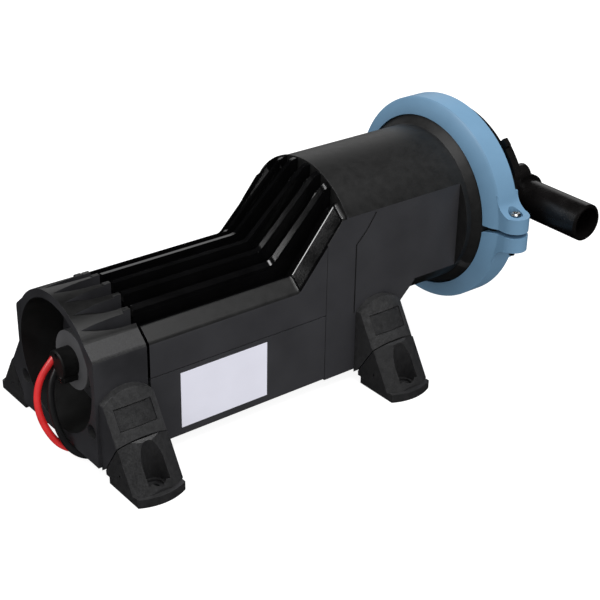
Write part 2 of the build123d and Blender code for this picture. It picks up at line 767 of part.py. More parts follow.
# Pump head with both spigots
def make_pump_head():
    head = rod_x(flange_radius, head_rim_rear, head_rim_front, 0, barrel_z)
    head += rod_x(flare_radius, head_rim_front, head_neck_x, 0, barrel_z)
    disc = rod_x(flare_radius + head_disc_step, head_neck_x, head_disc_x, 0, barrel_z)
    head += chamfer(disc.edges().group_by(Axis.X)[-1], 1.2)
    lip_radius = flare_radius + head_lip_step
    lip = rod_x(lip_radius, head_neck_x, head_neck_x + head_lip, 0, barrel_z)
    reach = 1.5 * lip_radius
    wedge = [(0, barrel_z)]
    for angle in (head_tab_angle, head_lip_end_angle):
        turn = math.radians(angle)
        wedge.append((-reach * math.sin(turn), barrel_z + reach * math.cos(turn)))
    head += lip & end_shape(wedge, head_neck_x, head_neck_x + head_lip)
    tab_z = barrel_z + lip_radius
    tab = block(head_neck_x, head_disc_x, -2.8, 2.8, tab_z - 9, tab_z + 2.4)
    head += tab.rotate(Axis((0, 0, barrel_z), (1, 0, 0)), head_tab_angle)
    head += cone_x(flare_radius + 2, flare_radius - head_cone_step, head_disc_x, head_face_x, barrel_z)
    head += rod_y(port_tube_radius, -port_half_length, port_half_length, port_x, port_z)
    head += block(head_face_x - 6, port_x, -port_half_length + 6, port_half_length - 6,
                  port_z - port_tube_radius + 2, port_z + port_tube_radius - 2)
    spigot = rod_y(spigot_radius, -spigot_end_y, spigot_end_y, port_x, port_z)
    head += chamfer(spigot.edges().filter_by(GeomType.CIRCLE), spigot_bevel)
    for angle in [35, 90, 145, 215, 270, 325]:
        y = (flare_radius - 11.4) * math.cos(math.radians(angle))
        z = barrel_z + (flare_radius - 11.4) * math.sin(math.radians(angle))
        head += rod_x(4.6, head_neck_x, head_face_x - 3.0, y, z)
    boss_y = port_half_length - head_boss_radius - head_boss_inset
    boss_z = port_z + 13.2
    boss = rod_x(head_boss_radius, head_face_x - 6, port_x + 4.2, boss_y, boss_z)
    head += both_sides(chamfer(boss.edges().group_by(Axis.X)[-1], 1.0))
    chamber = rod_x(chamber_radius, head_rim_rear - 1, head_neck_x - 1.0, 0, barrel_z)
    chamber += cone_x(chamber_radius, chamber_radius - 12.0, head_neck_x - 1.0, head_face_x - 3.4, barrel_z)
    head -= chamber
    head -= block(head_face_x - 8, port_x, -seat_y + 3, seat_y - 3, port_z - 8.5, port_z + 8.5)
    bore_end = port_half_length - 3
    head -= rod_y(port_bore, -bore_end, bore_end, port_x, port_z)
    head += rod_y(port_bore + 1, -seat_y - seat_thickness / 2, -seat_y + seat_thickness / 2, port_x, port_z)
    head += rod_y(port_bore + 1, seat_y - seat_thickness / 2, seat_y + seat_thickness / 2, port_x, port_z)
    head -= rod_y(seat_bore, -seat_y - 4, seat_y + 4, port_x, port_z)
    head -= rod_y(spigot_bore, bore_end - 1, spigot_end_y + 1, port_x, port_z)
    head -= rod_y(spigot_bore, -spigot_end_y - 1, -bore_end + 1, port_x, port_z)
    for seat in (-seat_y, seat_y):
        pin_y = flap_pin_y(seat)
        head -= rod_x(flap_pin_radius, port_x - 14, port_x + port_tube_radius + 1, pin_y, flap_pin_z)
    return head


def flap_pin_y(seat):
    """Hinge line of the flap that lies against a seat and opens towards the near side."""
    return seat - seat_thickness / 2 - running_gap * 6 - flap_thickness / 2


def make_flap(seat):
    y = flap_pin_y(seat)
    half = flap_thickness / 2
    flap = rod_y(flap_radius, y - half, y + half, port_x, port_z)
    flap -= block(port_x - 20, port_x + 20, y - 5, y + 5, flap_pin_z, port_z + 30)
    half_knuckle = 6.0
    flap += rod_x(flap_knuckle, port_x - half_knuckle, port_x + half_knuckle, y, flap_pin_z)
    return flap - rod_x(flap_pin_radius + running_gap, port_x - 20, port_x + 20, y, flap_pin_z)


def make_flap_pin(seat):
    return rod_x(flap_pin_radius, port_x - 14, port_x + port_tube_radius - 0.4, flap_pin_y(seat), flap_pin_z)


# Diaphragm, its plates and screw. The hub is drawn back by the throw of the eccentric.
hub_rear = flange_front - throw
hub_front = hub_rear + diaphragm_rim
plate_screw_radius = 4.0
convolution_depth = 5.5


def make_diaphragm():
    outer_r = flange_radius - 0.4
    rim_r, hub_r = flange_bore - 1.5, plate_radius + 1.0
    mid_r = (rim_r + hub_r) / 2
    rim_front = flange_front + diaphragm_rim
    z = barrel_z
    bulge = throw / 2 + convolution_depth

    def fold(rim_x, hub_x):
        return ThreePointArc((hub_x, 0, z + hub_r), (rim_x - bulge, 0, z + mid_r), (rim_x, 0, z + rim_r))

    rim = Polyline((flange_front, 0, z + rim_r), (flange_front, 0, z + outer_r),
                   (rim_front, 0, z + outer_r), (rim_front, 0, z + rim_r))
    hub = Polyline((hub_front, 0, z + hub_r), (hub_front, 0, z + plate_screw_radius + hole_fit),
                   (hub_rear, 0, z + plate_screw_radius + hole_fit), (hub_rear, 0, z + hub_r))
    edges = [fold(flange_front, hub_rear), *rim.edges(), fold(rim_front, hub_front), *hub.edges()]
    return revolve(make_face(edges), axis=Axis((0, 0, z), (1, 0, 0)))


def make_rear_plate():
    plate = rod_x(plate_radius, hub_rear - plate_thickness, hub_rear, 0, wheel_z)
    plate = chamfer(plate.edges().group_by(Axis.X)[0], 1.2)
    return plate - rod_x(plate_screw_radius + hole_fit, hub_rear - 10, hub_rear + 1, 0, wheel_z)


def make_front_plate():
    face = hub_front + plate_thickness
    plate = rod_x(plate_radius, hub_front, face, 0, wheel_z)
    plate = chamfer(plate.edges().group_by(Axis.X)[-1], 1.2)
    plate -= rod_x(plate_screw_radius + hole_fit, hub_front - 1, face + 1, 0, wheel_z)
    return plate - rod_x(7.4, face - 2.2, face + 10, 0, wheel_z)


def make_plate_screw():
    face = hub_front + plate_thickness
    screw = rod_x(plate_screw_radius, rod_front - 20, face - 2.2, 0, wheel_z)
    screw += rod_x(7.0, face - 2.2, face, 0, wheel_z)
    socket = Plane(origin=(face - 1.3, 0, wheel_z), z_dir=(1, 0, 0)) * extrude(RegularPolygon(3, 6), amount=3)
    return screw - socket


# Connecting rod and eccentric, at rest with the diaphragm drawn back
rod_far_y = rod_near_y + rod_width
rod_front = hub_rear - plate_thickness


def make_connecting_rod():
    rod = rod_y(rod_ring_radius, rod_near_y, rod_far_y, pin_x, wheel_z)
    arm_end = rod_front - 22
    rod += side_shape(
        [
            (pin_x + 12, wheel_z - 9), (arm_end, wheel_z - 7), (arm_end, wheel_z + 7), (pin_x + 12, wheel_z + 9),
        ],
        rod_near_y, rod_far_y,
    )
    rod += block(rod_front - 28, rod_front - 14, rod_near_y, 9.0, wheel_z - 7, wheel_z + 7)
    rod += rod_x(9.0, rod_front - 16, rod_front, 0, wheel_z)
    rod -= rod_y(big_bearing_radius, rod_near_y - 1, rod_far_y + 1, pin_x, wheel_z)
    return rod - rod_x(plate_screw_radius, rod_front - 21, rod_front + 1, 0, wheel_z)


def make_big_end_bearing():
    bearing = rod_y(big_bearing_radius, rod_near_y, rod_far_y, pin_x, wheel_z)
    return bearing - rod_y(eccentric_radius + running_gap, rod_near_y - 1, rod_far_y + 1, pin_x, wheel_z)


def make_eccentric():
    disc = rod_y(eccentric_radius, rod_near_y - 0.5, rod_far_y + 0.5, pin_x, wheel_z)
    return disc - rod_y(output_radius, rod_near_y - 2, rod_far_y + 2, shaft_x, wheel_z)


# Worm gear
lead = math.pi * module
worm_half = worm_turns * lead / 2
addendum = module * 0.84
dedendum = module * 1.06
worm_core = worm_pitch_radius - dedendum - 0.1
tooth_width = lead / 2 - backlash / 2
flank = math.tan(math.radians(20))


def make_worm():
    start = shaft_x - worm_half
    path_plane = Plane(origin=(start, 0, motor_z), x_dir=(0, 0, 1), z_dir=(1, 0, 0))
    path = path_plane * Helix(lead, worm_turns * lead, worm_core - 0.3)
    root = tooth_width / 2 + flank * dedendum
    tip = tooth_width / 2 - flank * addendum
    outer = worm_pitch_radius + addendum
    inner = worm_core - 0.3
    section = make_face(Polyline(
        (start - root, 0, motor_z + inner), (start + root, 0, motor_z + inner),
        (start + tip, 0, motor_z + outer), (start - tip, 0, motor_z + outer), close=True,
    ))
    thread = sweep(section, path=path, is_frenet=True)
    core = rod_x(worm_core, start - 3, start + 2 * worm_half + 3)
    thread = thread & block(start - 3, start + 2 * worm_half + 3, -20, 20, motor_z - 20, motor_z + 20)
    return core + thread - rod_x(shaft_radius, start - 10, start + 2 * worm_half + 10)


def make_worm_wheel():
    half = wheel_width / 2
    root_radius = wheel_pitch_radius - dedendum
    tip_radius = wheel_pitch_radius + addendum
    wheel = rod_y(root_radius, -half, half, shaft_x, wheel_z)
    wheel += rod_y(9.5, -half - 1.2, side_plate_y - 1.0, shaft_x, wheel_z)
    twist = math.degrees(half * lead / (2 * math.pi * worm_pitch_radius) / wheel_pitch_radius)
    root = tooth_width / 2 + flank * dedendum
    tip = tooth_width / 2 - flank * addendum

    def tooth_face(y, turn):
        shape = Polyline(
            (shaft_x - root, y, wheel_z + root_radius - 0.6), (shaft_x + root, y, wheel_z + root_radius - 0.6),
            (shaft_x + tip, y, wheel_z + tip_radius), (shaft_x - tip, y, wheel_z + tip_radius), close=True,
        )
        return make_face(shape).rotate(Axis((shaft_x, 0, wheel_z), (0, 1, 0)), turn)

    step = 360 / wheel_teeth
    for index in range(wheel_teeth):
        turn = (index + 0.5) * step
        tooth = loft([tooth_face(-half, turn - twist), tooth_face(half, turn + twist)])
        wheel += tooth
    for index in range(5):
        hole = rod_y(3.6, -half - 1, half + 1, shaft_x, wheel_z + 16)
        wheel -= hole.rotate(Axis((shaft_x, 0, wheel_z), (0, 1, 0)), index * 72)
    return wheel - rod_y(output_radius, -30, 30, shaft_x, wheel_z)


def make_output_shaft():
    end = side_plate_y + side_plate + 0.8
    return rod_y(output_radius, -end, end, shaft_x, wheel_z)


def make_shaft_bearing(sign):
    middle = side_plate_y + side_plate / 2
    y0, y1 = sorted((sign * (middle - bearing_width / 2), sign * (middle + bearing_width / 2)))
    ring = rod_y(bearing_radius, y0, y1, shaft_x, wheel_z)
    return ring - rod_y(output_radius + running_gap, y0 - 1, y1 + 1, shaft_x, wheel_z)


# Gearbox frame
worm_bush_x = shaft_x + worm_half + 3.5


def make_gearbox_frame():
    near = side_plate_y
    front = worm_bush_x + frame_plate
    outline = [
        (bell_front, frame_floor_z), (nose_x - 10, frame_floor_z), (nose_x - 4, frame_floor_z + 9),
        (front, frame_floor_z + 9), (front, wheel_z - 12), (shaft_x + 14, wheel_z + 15),
        (shaft_x - 14, wheel_z + 15), (shaft_x - 28, motor_z + 20), (bell_front, motor_z + 20),
    ]
    frame = both_sides(side_shape(outline, near, near + side_plate))
    frame += block(bell_front, nose_x - 10, -near - 1, near + 1, frame_floor_z, frame_floor_z + frame_floor)
    frame += rod_x(can_radius, bell_front, frame_front)
    frame += block(worm_bush_x, front, -near - 1, near + 1, frame_floor_z + 9, motor_z + 12)
    frame -= rod_x(bush_radius + 2, bell_front - 1, frame_front + 1)
    frame -= rod_x(bush_radius, worm_bush_x - 1, front + 1)
    frame -= rod_y(bearing_radius, -near - 10, near + 10, shaft_x, wheel_z)
    for y in (-26.0, 26.0):
        frame -= rod_x(screw_radius + hole_fit, bell_front - 1, frame_front + 1, y)
    for x in frame_post_xs:
        frame -= both_sides(rod_z(screw_radius, frame_floor_z - 1, frame_floor_z + 10, x, frame_post_y))
    return frame


def make_worm_bush():
    bush = rod_x(bush_radius, worm_bush_x, worm_bush_x + frame_plate)
    return bush - rod_x(shaft_gap, worm_bush_x - 1, worm_bush_x + frame_plate + 1)


# Motor
def make_motor_can():
    can = rod_x(can_radius, can_rear, can_front)
    return can - rod_x(can_radius - can_wall, can_rear - 1, can_front + 1)


def make_rear_bell():
    bell = rod_x(can_radius, can_rear - rear_bell, can_rear)
    bell = chamfer(bell.edges().group_by(Axis.X)[0], 1.5)
    bell += rod_x(can_radius - can_wall, can_rear, can_rear + 3)
    return bell - rod_x(bush_radius, can_rear - rear_bell - 1, can_rear + 4)


def make_front_bell():
    bell = rod_x(can_radius, can_front, bell_front)
    bell += rod_x(can_radius - can_wall, can_front - 3, can_front)
    bell -= rod_x(bush_radius, can_front - 4, bell_front + 1)
    for y in (-26.0, 26.0):
        bell -= rod_x(screw_radius, can_front - 0.5, bell_front + 1, y)
    return bell


def make_bush(x0, x1):
    return rod_x(bush_radius, x0, x1) - rod_x(shaft_gap, x0 - 1, x1 + 1)


def make_magnet(sign):
    outer = can_radius - can_wall
    ring = rod_x(outer, armature_rear - 3, armature_front + 3)
    ring -= rod_x(outer - magnet_thickness, armature_rear - 4, armature_front + 4)
    y0, y1 = sorted((sign * 9.0, sign * 40.0))
    return ring & block(armature_rear - 4, armature_front + 4, y0, y1, 0, 100)


def make_armature():
    core = rod_x(armature_radius, armature_rear, armature_front)
    for index in range(12):
        slot = block(armature_rear - 1, armature_front + 1, -1.2, 1.2, motor_z + armature_radius - 7,
                     motor_z + armature_radius + 1)
        core -= slot.rotate(Axis((0, 0, motor_z), (1, 0, 0)), index * 30)
    return core - rod_x(shaft_radius, armature_rear - 1, armature_front + 1)


def make_winding():
    outer = armature_radius - 2.5
    rear = rod_x(outer, armature_rear - 8, armature_rear)
    front = rod_x(outer, armature_front, armature_front + 8)
    rear = fillet(rear.edges().group_by(Axis.X)[0], 3)
    front = fillet(front.edges().group_by(Axis.X)[-1], 3)
    bore = rod_x(shaft_radius + 1.5, armature_rear - 10, armature_front + 10)
    return [rear - bore, front - bore]


def make_commutator():
    ring = rod_x(commutator_radius, commutator_rear, commutator_front)
    for index in range(12):
        slot = block(commutator_rear - 1, commutator_front - 3, -0.4, 0.4, motor_z + commutator_radius - 1.2,
                     motor_z + commutator_radius + 1)
        ring -= slot.rotate(Axis((0, 0, motor_z), (1, 0, 0)), index * 30)
    return ring - rod_x(shaft_radius, commutator_rear - 1, commutator_front + 1)


def make_brush(sign):
    y0, y1 = sorted((sign * (commutator_radius + 0.15), sign * (commutator_radius + 11)))
    return block(brush_x - 4, brush_x + 4, y0, y1, motor_z - 3, motor_z + 3)


def make_brush_holder():
    plate = rod_x(can_radius - can_wall - 0.1, can_rear + 3, can_rear + 6)
    plate -= rod_x(8.0, can_rear + 2, can_rear + 7)
    for sign in (-1, 1):
        y0, y1 = sorted((sign * (commutator_radius + 2), sign * (commutator_radius + 13)))
        box = block(can_rear + 5, brush_x + 6, y0, y1, motor_z - 5, motor_z + 5)
        box -= block(brush_x - 4, brush_x + 4, -commutator_radius - 11, commutator_radius + 11,
                     motor_z - 3, motor_z + 3)
        plate += box
    return plate


def make_motor_shaft():
    return rod_x(shaft_radius, can_rear - rear_bell + 1, worm_bush_x + frame_plate - 0.5)


def make_motor_screw(y):
    screw = rod_x(screw_radius, can_front, frame_front, y)
    return screw + rod_x(3.6, frame_front, frame_front + 2.6, y)


# Cable entry
def make_cable_boot():
    front = rear_x + recess_depth
    boot = rod_x(boot_radius, boot_rear, front)
    boot -= rod_x(boot_radius - 2.5, boot_rear + 2.5, front + 1)
    boot -= rod_x(gland_radius - 2.0, boot_rear - 1, boot_rear + 3)
    return boot - rod_x(gland_screw_radius, boot_rear - 1, boot_rear + 4, gland_screw_y, gland_screw_z)


def make_cable_gland():
    gland = rod_x(gland_radius, gland_rear, boot_rear)
    gland = chamfer(gland.edges().group_by(Axis.X)[0], 0.8)
    gland += rod_x(gland_radius - 2.0, boot_rear, boot_rear + 5)
    gland += rod_x(gland_screw_head + 1.1, gland_rear + 1.0, boot_rear, gland_screw_y, gland_screw_z)
    gland -= rod_x(gland_screw_head + 0.1, gland_rear - 1, gland_rear + 1.0, gland_screw_y, gland_screw_z)
    gland -= rod_x(gland_screw_radius, gland_rear, boot_rear + 1, gland_screw_y, gland_screw_z)
    gland -= rod_x(1.6, gland_rear - 1, gland_rear + 4, -1.0, motor_z + 6.2)
    return gland - lead_port(red_route) - lead_port(black_route)


def make_gland_screw():
    screw = rod_x(gland_screw_radius, gland_rear + 1.0, boot_rear + 2.5, gland_screw_y, gland_screw_z)
    return screw + rod_x(gland_screw_head, gland_rear - 0.4, gland_rear + 1.0, gland_screw_y, gland_screw_z)


# Leads. The points are chosen by hand along the route that shows, and on under the belly.
red_route = [
    (3.4, 5.0, 57.8), (-3.4, 5.0, 51.6), (-8.4, 4.6, 44.6), (-11.4, 3.0, 37.4), (-12.6, 0.4, 30.2),
    (-12.2, -2.8, 23.2), (-10.4, -5.6, 17.0), (-7.8, -7.8, 11.6), (-4.4, -9.6, 7.2), (0.2, -11.2, 4.0),
    (5.6, -12.6, 2.4), (13.0, -13.8, 2.3), (26.0, -14.2, 2.3), (46.0, -12.0, 2.3), (76.0, -9.0, 2.3),
    (112.0, -11.0, 2.3), (150.0, -9.0, 2.3), (190.0, -12.0, 2.3),
]
black_route = [
    (3.4, 3.0, 51.8), (-1.4, 2.0, 45.8), (-4.4, -0.4, 39.2), (-6.2, -3.6, 32.4), (-6.6, -7.2, 25.4),
    (-6.0, -10.6, 18.6), (-4.6, -13.6, 12.4), (-2.2, -16.4, 7.6), (1.2, -19.2, 4.3), (5.8, -21.8, 2.5),
    (12.0, -24.0, 2.3), (22.0, -25.8, 2.3), (38.0, -26.4, 2.3), (62.0, -24.6, 2.3), (92.0, -21.0, 2.3),
    (122.0, -23.0, 2.3), (154.0, -20.0, 2.3), (186.0, -23.0, 2.3),
]


def lead_port(route):
    """Slanted hole in the gland that a lead comes out of."""
    start, after = [Vector(rear_x + x, y, z) for x, y, z in route[:2]]
    low = (Align.CENTER, Align.CENTER, Align.MIN)
    return Plane(origin=start, z_dir=after - start) * Cylinder(lead_radius + lead_fit, 12.0, align=low)


def make_lead(route, name):
    """Round lead along straight runs joined by tangent arcs."""
    points = [Vector(rear_x + x, y, z) for x, y, z in route]
    radii = []
    for before, here, after in zip(points, points[1:], points[2:]):
        turn = (here - before).get_angle(after - here)
        shorter = min((here - before).length, (after - here).length)
        radii.append(0.45 * shorter / math.tan(math.radians(turn / 2)))
    path = FilletPolyline(*points, radius=radii)
    start = Plane(origin=points[0], z_dir=points[1] - points[0])
    tube = sweep(start * Circle(lead_radius), path=path)
    area = math.pi * lead_radius ** 2
    print(name, "length", round(path.length, 1), "volume over section times length",
          round(tube.volume / (area * path.length), 4), "radii", [round(r, 1) for r in radii])
    return tube


def make_lead_tip(route):
    """Bared copper at the end of a lead."""
    before, last = [Vector(rear_x + x, y, z) for x, y, z in route[-2:]]
    low = (Align.CENTER, Align.CENTER, Align.MIN)
    return Plane(origin=last, z_dir=last - before) * Cylinder(1.3, 9.0, align=low)


# Label and screws of the case
def make_label():
    return block(rear_x + 56.0, rear_x + 117.5, -case_half_width - 0.25, -case_half_width, 14.0, 50.5)


def make_cap_screw(y):
    head_x = rear_x + cap_head_depth
    screw = rod_x(case_thread_radius, head_x, cover_rear + 18, y, cap_screw_z)
    head = rod_x(3.8, head_x - 2.8, head_x, y, cap_screw_z)
    return screw + head - block(head_x - 3, head_x - 1.6, y - 3, y + 3, cap_screw_z - 0.5, cap_screw_z + 0.5)


def make_upright_screw(x, y, top, radius):
    screw = rod_z(radius, belly_z + 3.2, top, x, y)
    return screw + rod_z(3.6, belly_z + 0.8, belly_z + 3.2, x, y)


def write(name, *solids):
    """Writes one node: a single solid, or a group of like solids."""
    shape = solids[0] if len(solids) == 1 else Compound(children=list(solids))
    export_step(shape, f"parts/{name}.step")


os.makedirs("parts", exist_ok=True)

write("rear_cap", make_rear_cap())
write("top_cover", make_top_cover())
write("base_cover", make_base_cover())
write("front_housing", make_front_housing())
write("clamp_ring_upper", make_clamp_ring(True))
write("clamp_ring_lower", make_clamp_ring(False))
write("clamp_screws", *[make_clamp_screw(y) for y in (-lug_y, lug_y)])
write("clamp_nuts", *[make_clamp_nut(y) for y in (-lug_y, lug_y)])
write("pump_head", make_pump_head())
write("inlet_valve", make_flap(seat_y))
write("outlet_valve", make_flap(-seat_y))
write("valve_pins", *[make_flap_pin(seat) for seat in (seat_y, -seat_y)])
write("diaphragm", make_diaphragm())
write("diaphragm_rear_plate", make_rear_plate())
write("diaphragm_front_plate", make_front_plate())
write("diaphragm_screw", make_plate_screw())
write("connecting_rod", make_connecting_rod())
write("big_end_bearing", make_big_end_bearing())
write("eccentric", make_eccentric())
write("worm_wheel", make_worm_wheel())
write("output_shaft", make_output_shaft())
write("shaft_bearings", *[make_shaft_bearing(sign) for sign in (-1, 1)])
write("gearbox_frame", make_gearbox_frame())
write("worm_bush", make_worm_bush())
write("worm", make_worm())
write("motor_can", make_motor_can())
write("motor_rear_bell", make_rear_bell())
write("motor_front_bell", make_front_bell())
write("motor_rear_bush", make_bush(can_rear - rear_bell, can_rear + 3))
write("motor_front_bush", make_bush(can_front - 3, bell_front))
write("motor_magnets", *[make_magnet(sign) for sign in (-1, 1)])
write("armature", make_armature())
write("winding", *make_winding())
write("commutator", make_commutator())
write("brushes", *[make_brush(sign) for sign in (-1, 1)])
write("brush_holder", make_brush_holder())
write("motor_shaft", make_motor_shaft())
write("motor_screws", *[make_motor_screw(y) for y in (-26.0, 26.0)])
write("cable_boot", make_cable_boot())
write("cable_gland", make_cable_gland())
write("gland_screw", make_gland_screw())
write("lead_red", make_lead(red_route, "red lead"))
write("lead_black", make_lead(black_route, "black lead"))
write("lead_tips", make_lead_tip(red_route), make_lead_tip(black_route))
write("label", make_label())
write("cap_screws", *[make_cap_screw(y) for y in (-cap_screw_y, cap_screw_y)])
write("cover_screws", *[
    make_upright_screw(x, y, split_z + 12, case_thread_radius)
    for x in post_xs for y in (-post_y, post_y)
])
write("frame_screws", *[
    make_upright_screw(x, y, frame_floor_z + frame_floor - 0.5, screw_radius)
    for x in frame_post_xs for y in (-frame_post_y, frame_post_y)
])
for end_name, foot_x in (("rear", rear_foot_x), ("front", front_foot_x)):
    foot = make_foot(foot_x)
    write(f"foot_{end_name}_near", foot)
    write(f"foot_{end_name}_far", mirror(foot, about=Plane.XZ))
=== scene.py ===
import math

import bmesh
import bpy
from mathutils import Matrix, Vector


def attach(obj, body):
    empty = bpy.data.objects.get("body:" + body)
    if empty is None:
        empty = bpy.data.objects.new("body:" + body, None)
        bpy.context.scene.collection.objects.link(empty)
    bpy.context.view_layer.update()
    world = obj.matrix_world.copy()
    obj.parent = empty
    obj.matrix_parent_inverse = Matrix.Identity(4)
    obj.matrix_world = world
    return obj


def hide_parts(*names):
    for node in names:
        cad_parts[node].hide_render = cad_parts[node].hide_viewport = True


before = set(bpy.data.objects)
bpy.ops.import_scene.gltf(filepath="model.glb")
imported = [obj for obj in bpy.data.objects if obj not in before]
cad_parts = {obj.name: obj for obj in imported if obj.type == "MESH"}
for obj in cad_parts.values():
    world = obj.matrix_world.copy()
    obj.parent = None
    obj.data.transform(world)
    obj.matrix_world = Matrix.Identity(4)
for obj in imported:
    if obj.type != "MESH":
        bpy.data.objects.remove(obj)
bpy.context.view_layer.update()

# Camera. It looks down on the cable end from the near side, from about 0.9 m, through a
# long lens, and leans by a degree as the photograph does.
looks_at = Vector((0.0791, 0.0147, 0.0365))
towards_camera = Vector((-0.5537, -0.6948, 0.4591)).normalized()
camera_distance = 0.9074
camera_lean = math.radians(1.13)
film_width = 36.0
lens_length = 82.8
lens_shift = (-0.0037, -0.01095)
level_right = Vector((0, 0, 1)).cross(towards_camera).normalized()
level_up = towards_camera.cross(level_right)
right = level_right * math.cos(camera_lean) + level_up * math.sin(camera_lean)
up = level_up * math.cos(camera_lean) - level_right * math.sin(camera_lean)
photo_camera = bpy.data.objects.new("photo_camera", bpy.data.cameras.new("photo_camera"))
photo_camera.data.sensor_width = film_width
photo_camera.data.lens = lens_length
photo_camera.data.shift_x, photo_camera.data.shift_y = lens_shift
turn = Matrix((right, up, towards_camera)).transposed().to_4x4()
photo_camera.matrix_world = Matrix.Translation(looks_at + towards_camera * camera_distance) @ turn
bpy.context.scene.collection.objects.link(photo_camera)
bpy.context.scene.camera = photo_camera


# Leads. Two soft PVC covered wires, red and black, come out of slanted ports in the gland, drop
# to the floor in a loose curve and run on under the belly to bared copper ends.
lead_diameter = 0.0042
case_rear_x = -0.111


def sleeve(name, colour, dullness, flecks):
    """Soft PVC with a waxy shine that is a little uneven along its length."""
    finish = bpy.data.materials.new(name)
    finish.use_nodes = True
    tree = finish.node_tree
    shader = tree.nodes["Principled BSDF"]
    shader.inputs["Coat Weight"].default_value = 0.15
    shader.inputs["Coat Roughness"].default_value = 0.3
    place = tree.nodes.new("ShaderNodeTexCoord")
    streaks = tree.nodes.new("ShaderNodeTexNoise")
    streaks.inputs["Scale"].default_value = 120.0
    streaks.inputs["Detail"].default_value = 4.0
    tree.links.new(place.outputs["Object"], streaks.inputs["Vector"])
    tint = tree.nodes.new("ShaderNodeValToRGB")
    tint.color_ramp.elements[0].position = 0.3
    tint.color_ramp.elements[0].color = (*[channel * 0.82 for channel in colour], 1)
    tint.color_ramp.elements[1].position = 0.7
    tint.color_ramp.elements[1].color = (*colour, 1)
    tree.links.new(streaks.outputs["Fac"], tint.inputs["Fac"])
    tree.links.new(tint.outputs["Color"], shader.inputs["Base Color"])
    shine = tree.nodes.new("ShaderNodeMapRange")
    shine.inputs["To Min"].default_value = dullness - 0.06
    shine.inputs["To Max"].default_value = dullness + 0.08
    tree.links.new(streaks.outputs["Fac"], shine.inputs["Value"])
    tree.links.new(shine.outputs["Result"], shader.inputs["Roughness"])
    grain = tree.nodes.new("ShaderNodeTexNoise")
    grain.inputs["Scale"].default_value = flecks
    tree.links.new(place.outputs["Object"], grain.inputs["Vector"])
    relief = tree.nodes.new("ShaderNodeBump")
    relief.inputs["Strength"].default_value = 0.12
    relief.inputs["Distance"].default_value = 0.0001
    tree.links.new(grain.outputs["Fac"], relief.inputs["Height"])
    tree.links.new(relief.outputs["Normal"], shader.inputs["Normal"])
    return finish


def lead(name, node, route, finish):
    """One smooth round wire along its route, given in millimetres from the rear of the case.
    """
    line = bpy.data.curves.new(name, "CURVE")
    line.dimensions = "3D"
    line.bevel_depth = lead_diameter / 2
    line.bevel_resolution = 6
    line.resolution_u = 16
    line.use_fill_caps = True
    spline = line.splines.new("NURBS")
    spline.points.add(len(route) - 1)
    for point, (x, y, z) in zip(spline.points, route):
        point.co = (case_rear_x + x / 1000, y / 1000, z / 1000, 1)
    spline.order_u = 3
    spline.use_endpoint_u = True
    wire = bpy.data.objects.new(name, line)
    bpy.context.scene.collection.objects.link(wire)
    line.materials.append(finish)
    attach(wire, "case")
    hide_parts(node)


lead("red_wire", "lead_red", [
    (3.4, 5.0, 57.8), (-3.4, 5.0, 51.6), (-8.4, 4.6, 44.6), (-11.4, 3.0, 37.4),
    (-12.6, 0.4, 30.2), (-12.2, -2.8, 23.2), (-10.4, -5.6, 17.0), (-7.8, -7.8, 11.6),
    (-4.4, -9.6, 7.2), (0.2, -11.2, 4.0), (5.6, -12.6, 2.4), (13.0, -13.8, 2.3),
    (26.0, -14.2, 2.3), (46.0, -12.0, 2.3), (76.0, -9.0, 2.3), (112.0, -11.0, 2.3),
    (150.0, -9.0, 2.3), (190.0, -12.0, 2.3),
], sleeve("red_sleeve", (0.88, 0.022, 0.024), 0.34, 2600.0))
lead("black_wire", "lead_black", [
    (3.4, 3.0, 51.8), (-1.4, 2.0, 45.8), (-4.4, -0.4, 39.2), (-6.2, -3.6, 32.4),
    (-6.6, -7.2, 25.4), (-6.0, -10.6, 18.6), (-4.6, -13.6, 12.4), (-2.2, -16.4, 7.6),
    (1.2, -19.2, 4.3), (5.8, -21.8, 2.5), (12.0, -24.0, 2.3), (22.0, -25.8, 2.3),
    (38.0, -26.4, 2.3), (62.0, -24.6, 2.3), (92.0, -21.0, 2.3), (122.0, -23.0, 2.3),
    (154.0, -20.0, 2.3), (186.0, -23.0, 2.3),
], sleeve("black_sleeve", (0.012, 0.012, 0.013), 0.38, 2600.0))


